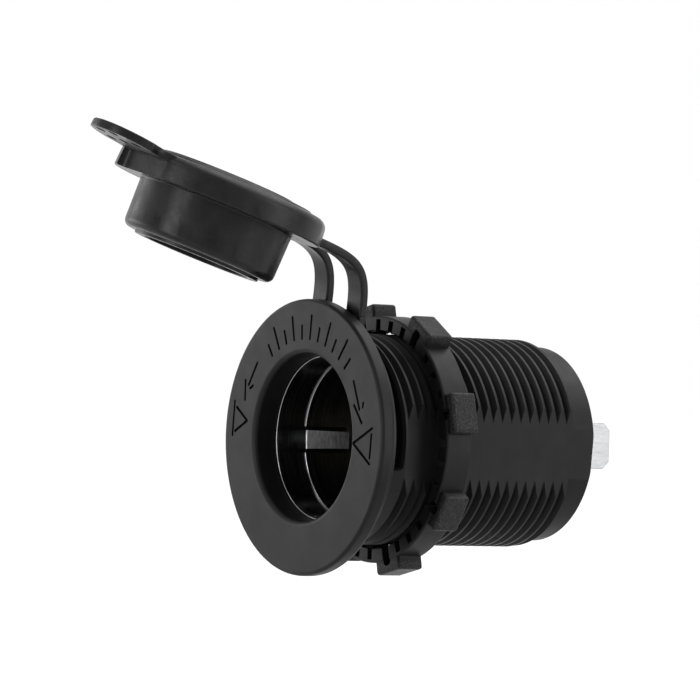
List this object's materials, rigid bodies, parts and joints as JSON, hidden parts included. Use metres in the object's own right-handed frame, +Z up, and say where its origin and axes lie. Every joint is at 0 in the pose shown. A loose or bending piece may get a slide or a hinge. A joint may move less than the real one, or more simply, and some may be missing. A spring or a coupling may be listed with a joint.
{
  "type": "panel power socket",
  "caption": "Panel-mount 12 volt power socket: round flange, threaded barrel with two flats, lugged lock nut, blade terminals and a rubber cap on a curved two-armed strap.",
  "frame": {"origin": "on the socket's axis, in the plane where the panel's front face meets the ring behind the flange", "axes": "+Y along the axis from the mouth to the terminals, +Z up, the barrel's flats facing +X and -X"},
  "size_m": [0.037, 0.0868, 0.0593],
  "materials": {
    "black_plastic": "satin moulded black plastic",
    "nut_plastic": "fine-grained moulded black plastic",
    "black_rubber": "smooth soft black rubber with a faint sheen",
    "plated_shell": "bright plated sheet",
    "tinned_steel": "tinned sheet",
    "brass": "plain brass",
    "insulator": "brown pressed insulating board"
  },
  "bodies": {
    "socket": {"housing": "black_plastic", "contact_shell": "plated_shell", "front_insulator": "insulator", "centre_contact": "brass", "centre_screw": "brass", "positive_terminal": "tinned_steel", "split_washer": "tinned_steel", "terminal_nut": "brass", "negative_terminal": "tinned_steel", "negative_rivet": "tinned_steel", "strap_ring": "black_rubber", "strap_arms": "black_rubber"},
    "nut": {"lock_nut": "nut_plastic"},
    "cap": {"cap": "black_rubber"}
  },
  "joints": [
    {"name": "cap_hinge", "type": "hinge", "parent": "socket", "child": "cap", "pos_m": [0.00231, -0.0019, 0.02198], "axis": [0.9945, 0, -0.1045], "range_deg": [-20, 107.2], "stiffness_Nm_per_rad": 0.05, "deforming": ["strap_arms"]},
    {"name": "nut_spin", "type": "hinge", "parent": "socket", "child": "nut", "pos_m": [0, 0.0102, 0], "axis": [0, 1, 0], "continuous": true}
  ]
}
